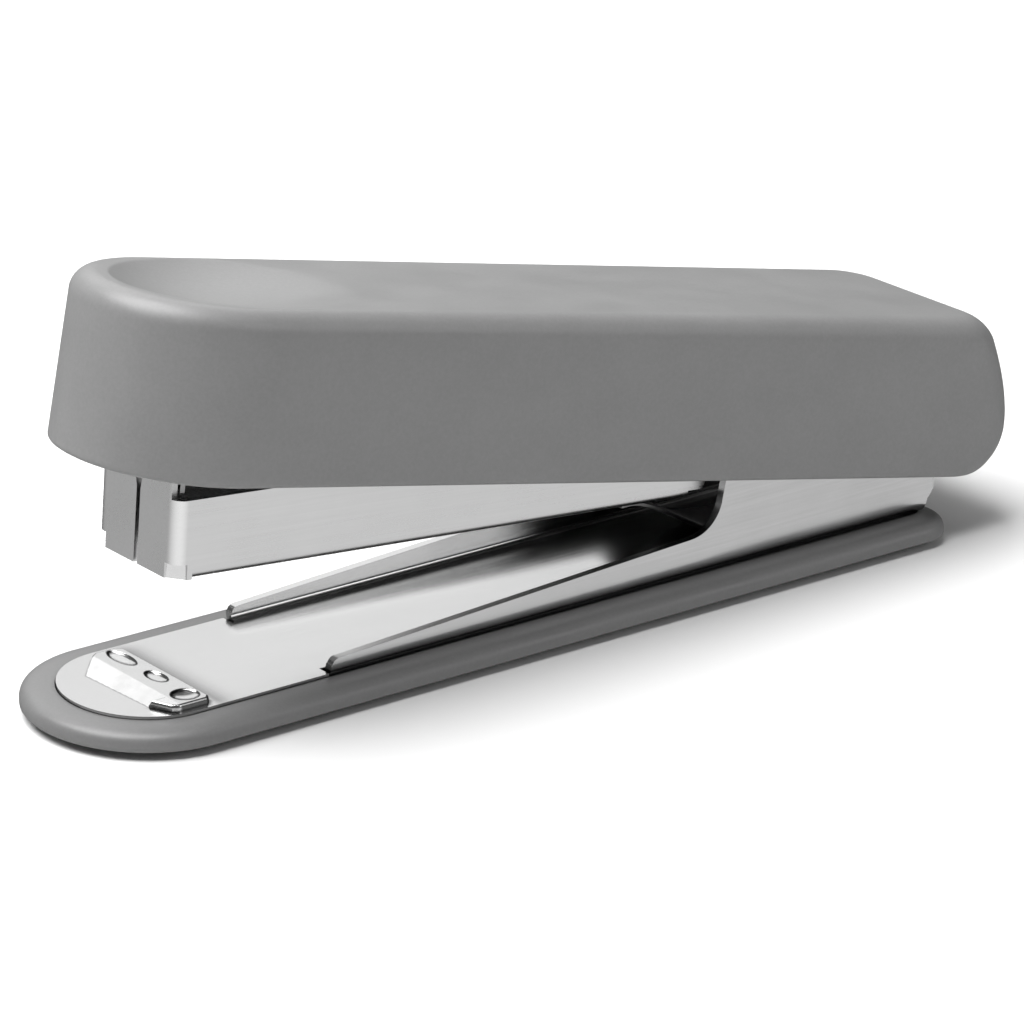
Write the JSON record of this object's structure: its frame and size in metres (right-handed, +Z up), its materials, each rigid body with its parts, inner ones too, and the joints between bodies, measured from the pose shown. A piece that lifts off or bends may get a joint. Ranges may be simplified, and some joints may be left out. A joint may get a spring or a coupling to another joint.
{
  "type": "stapler",
  "caption": "Desk stapler with a sprung magazine and a press-down cover on one rear pin, a steel base plate with ears, and a clinch anvil in a plastic base.",
  "frame": {"origin": "bottom centre of the bounding box at rest, on the surface that the stapler stands on", "axes": "+X to the rear, from the mouth to the pivot pin; +Y across the stapler along the pin; +Z up"},
  "size_m": [0.125, 0.028, 0.048],
  "materials": {
    "grey_plastic": "fine-textured moulded mid-grey plastic",
    "nickel_steel": "satin nickel-plated steel sheet",
    "polished_steel": "bright hardened steel",
    "spring_steel": "plain spring steel",
    "staple_wire": "galvanised wire",
    "black_rubber": "matt black rubber"
  },
  "bodies": {
    "base": {"base_shell": "grey_plastic", "base_plate": "nickel_steel", "anvil": "polished_steel", "foot_pad_front": "black_rubber", "foot_pad_rear": "black_rubber", "magazine_spring": "spring_steel", "magazine_spring_rivet": "nickel_steel", "pivot_pin": "polished_steel", "pivot_clip": "spring_steel"},
    "magazine": {"magazine_channel": "nickel_steel", "staple_rail": "nickel_steel", "staple_strip": "staple_wire", "spring_bracket": "nickel_steel", "cover_spring": "spring_steel", "pusher_spring": "spring_steel"},
    "pusher": {"pusher": "nickel_steel", "pusher_rod": "spring_steel"},
    "cover": {"top_cover": "grey_plastic", "cover_frame": "nickel_steel", "driver_blade": "polished_steel", "blade_rivet_left": "nickel_steel", "blade_rivet_right": "nickel_steel", "cover_screw_front": "nickel_steel", "cover_screw_rear": "nickel_steel"}
  },
  "joints": [
    {"name": "magazine_hinge", "type": "hinge", "parent": "base", "child": "magazine", "pos_m": [0.048, 0, 0.0219], "axis": [0, 1, 0], "range_deg": [-7.3, 0], "stiffness_Nm_per_rad": 2, "springref_deg": 5.73, "deforming": ["magazine_spring"]},
    {"name": "cover_hinge", "type": "hinge", "parent": "magazine", "child": "cover", "pos_m": [0.048, 0, 0.0219], "axis": [0, 1, 0], "range_deg": [-5.4, 40], "stiffness_Nm_per_rad": 0.8, "springref_deg": 1.38},
    {"name": "pusher_slide", "type": "slide", "parent": "magazine", "child": "pusher", "axis": [0.9963, 0, -0.0858], "range_m": [0, 0.016], "stiffness_N_per_m": 50, "springref_m": -0.04, "deforming": ["pusher_spring"]}
  ]
}
